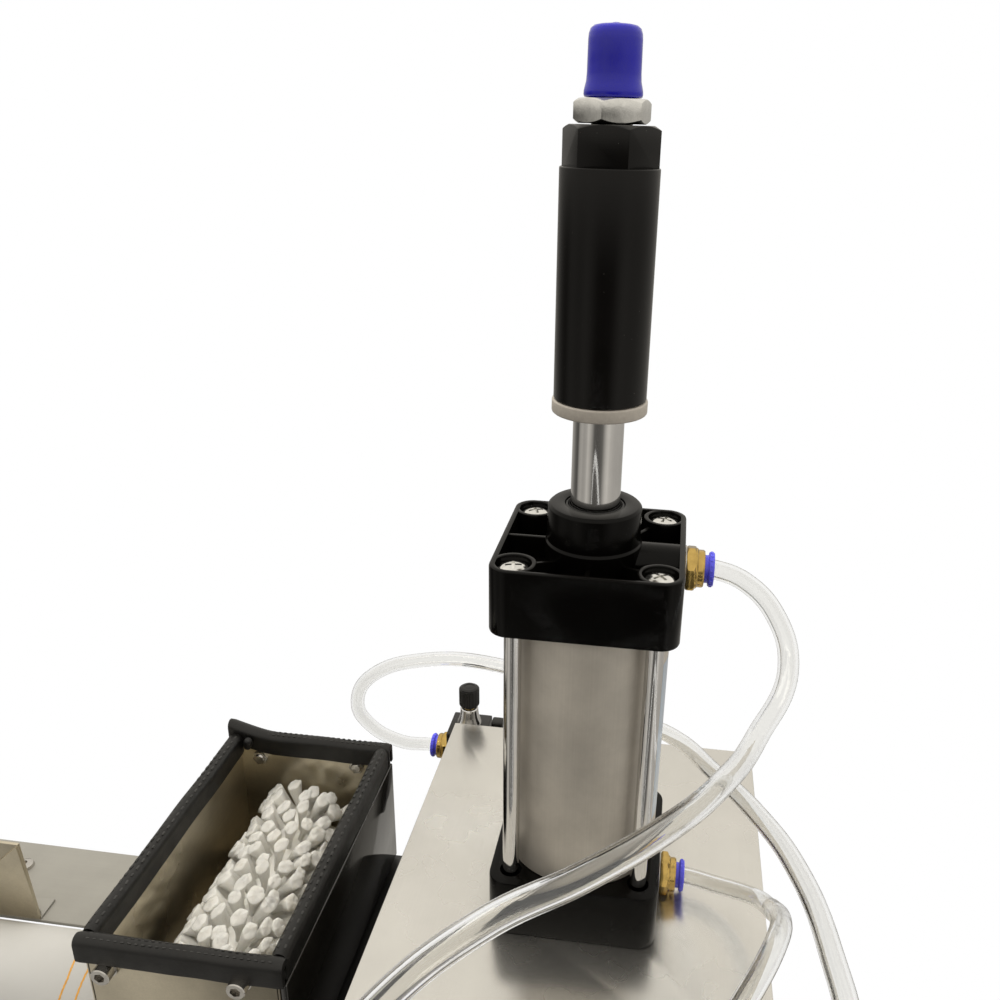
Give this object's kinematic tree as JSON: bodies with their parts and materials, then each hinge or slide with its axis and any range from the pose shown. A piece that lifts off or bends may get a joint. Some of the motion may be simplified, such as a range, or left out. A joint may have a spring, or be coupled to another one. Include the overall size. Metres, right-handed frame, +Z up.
{
  "type": "piston liquid filler",
  "caption": "Air-driven piston filling head on a stainless cabinet, with a stroke adjuster, speed control valve, clear air hoses and a brush trough at the side.",
  "frame": {"origin": "centre of the base plate's underside, on the axis of the drive cylinder", "axes": "+Z up along the piston rod, -Y towards the operator and the outlet, -X towards the brush trough"},
  "size_m": [0.4273, 0.3674, 0.6178],
  "materials": {
    "stainless_steel": "satin stainless sheet and bar",
    "brushed_plate": "brushed",
    "anodised_aluminium": "satin anodised",
    "chrome": "hard chrome, polished",
    "zinc_plate": "zinc plated, bright",
    "brass": "bright",
    "black_anodise": "black, glossy",
    "black_plastic": "gloss",
    "black_rubber": "matte",
    "bumper_rubber": "matte",
    "blue_plastic": "gloss",
    "white_nylon": "matte",
    "clear_hose": "clear, glossy"
  },
  "bodies": {
    "frame": {"base_plate": "stainless_steel", "cabinet_shell": "stainless_steel", "front_panel": "stainless_steel", "top_plate": "brushed_plate", "lower_end_cap": "black_anodise", "upper_end_cap": "black_anodise", "barrel": "anodised_aluminium", "tie_rod_1": "chrome", "tie_rod_2": "chrome", "tie_rod_3": "chrome", "tie_rod_4": "chrome", "tie_screw_1": "zinc_plate", "tie_screw_2": "zinc_plate", "tie_screw_3": "zinc_plate", "tie_screw_4": "zinc_plate", "rod_wiper_upper": "black_rubber", "rod_wiper_lower": "black_rubber", "upper_fitting": "brass", "lower_fitting": "brass", "rear_fitting": "brass", "valve_1_fitting": "brass", "valve_2_fitting": "brass", "valve_3_fitting": "brass", "control_valve_body": "black_anodise", "valve_bonnet": "chrome", "directional_valve": "anodised_aluminium", "adapter_flange": "stainless_steel", "metering_cylinder": "stainless_steel", "metering_block": "stainless_steel", "inlet_pipe": "stainless_steel", "outlet_pipe": "stainless_steel", "brush_trough": "stainless_steel", "trough_trim": "black_rubber", "trough_cover": "black_plastic", "trough_bracket": "black_plastic", "side_deck": "brushed_plate", "hose_upper": "clear_hose", "hose_lower": "clear_hose", "hose_supply": "clear_hose"},
    "rod": {"piston_rod": "chrome", "drive_piston": "anodised_aluminium", "piston_seal": "black_rubber", "metering_piston": "stainless_steel", "metering_seal": "black_rubber"},
    "bumper": {"bumper_ring": "bumper_rubber"},
    "adjuster": {"adjuster_sleeve": "black_anodise", "lock_nut": "zinc_plate"},
    "thread_cap": {"thread_cap": "blue_plastic"},
    "needle": {"knob_stem": "brass"},
    "knob": {"control_knob": "black_plastic"},
    "upper_collar": {"upper_collar": "blue_plastic"},
    "lower_collar": {"lower_collar": "blue_plastic"},
    "rear_collar": {"rear_collar": "blue_plastic"},
    "valve_1_collar": {"valve_1_collar": "blue_plastic"},
    "valve_2_collar": {"valve_2_collar": "blue_plastic"},
    "valve_3_collar": {"valve_3_collar": "blue_plastic"},
    "inlet_check": {"inlet_poppet": "stainless_steel"},
    "outlet_check": {"outlet_poppet": "stainless_steel"},
    "brush": {"brush_roller": "white_nylon"},
    "belt": {"belt_roller": "white_nylon"}
  },
  "joints": [
    {"name": "rod_stroke", "type": "slide", "parent": "frame", "child": "rod", "axis": [0, 0, 1], "range_m": [-0.038, 0]},
    {"name": "stroke_adjust", "type": "slide", "parent": "rod", "child": "bumper", "axis": [0, 0, 1], "range_m": [0, 0.0151]},
    {"name": "adjuster_turn", "type": "hinge", "parent": "bumper", "child": "adjuster", "pos_m": [0, 0, 0.49], "axis": [0, 0, 1], "range_deg": [0, 3600]},
    {"name": "thread_cap_pull", "type": "slide", "parent": "adjuster", "child": "thread_cap", "axis": [0, 0, 1], "range_m": [0, 0.032]},
    {"name": "needle_lift", "type": "slide", "parent": "frame", "child": "needle", "axis": [0, 0, 1], "range_m": [0, 0.00226]},
    {"name": "knob_turn", "type": "hinge", "parent": "needle", "child": "knob", "pos_m": [-0.082, 0.1273, 0.255], "axis": [0, 0, 1], "range_deg": [0, 1080]},
    {"name": "upper_collar_press", "type": "slide", "parent": "frame", "child": "upper_collar", "axis": [-1, 0, 0], "range_m": [0, 0.001], "stiffness_N_per_m": 300},
    {"name": "lower_collar_press", "type": "slide", "parent": "frame", "child": "lower_collar", "axis": [-1, 0, 0], "range_m": [0, 0.001], "stiffness_N_per_m": 300},
    {"name": "rear_collar_press", "type": "slide", "parent": "frame", "child": "rear_collar", "axis": [1, 0, 0], "range_m": [0, 0.001], "stiffness_N_per_m": 300},
    {"name": "valve_1_collar_press", "type": "slide", "parent": "frame", "child": "valve_1_collar", "axis": [0, 0, -1], "range_m": [0, 0.001], "stiffness_N_per_m": 300},
    {"name": "valve_2_collar_press", "type": "slide", "parent": "frame", "child": "valve_2_collar", "axis": [0, 0, -1], "range_m": [0, 0.001], "stiffness_N_per_m": 300},
    {"name": "valve_3_collar_press", "type": "slide", "parent": "frame", "child": "valve_3_collar", "axis": [0, 0, -1], "range_m": [0, 0.001], "stiffness_N_per_m": 300},
    {"name": "inlet_check_lift", "type": "slide", "parent": "frame", "child": "inlet_check", "axis": [0, -1, 0], "range_m": [0, 0.003], "stiffness_N_per_m": 300},
    {"name": "outlet_check_lift", "type": "slide", "parent": "frame", "child": "outlet_check", "axis": [0, -1, 0], "range_m": [0, 0.003], "stiffness_N_per_m": 300},
    {"name": "brush_spin", "type": "hinge", "parent": "frame", "child": "brush", "pos_m": [-0.1565, 0, 0.22], "axis": [0, 1, 0], "continuous": true},
    {"name": "belt_spin", "type": "hinge", "parent": "frame", "child": "belt", "pos_m": [-0.25, -0.061, 0.2], "axis": [1, 0, 0], "continuous": true}
  ],
  "couplings": [
    {"joint": "stroke_adjust", "follows": "adjuster_turn", "m_per_rad": 0.00023873},
    {"joint": "needle_lift", "follows": "knob_turn", "m_per_rad": 0.00011937}
  ]
}
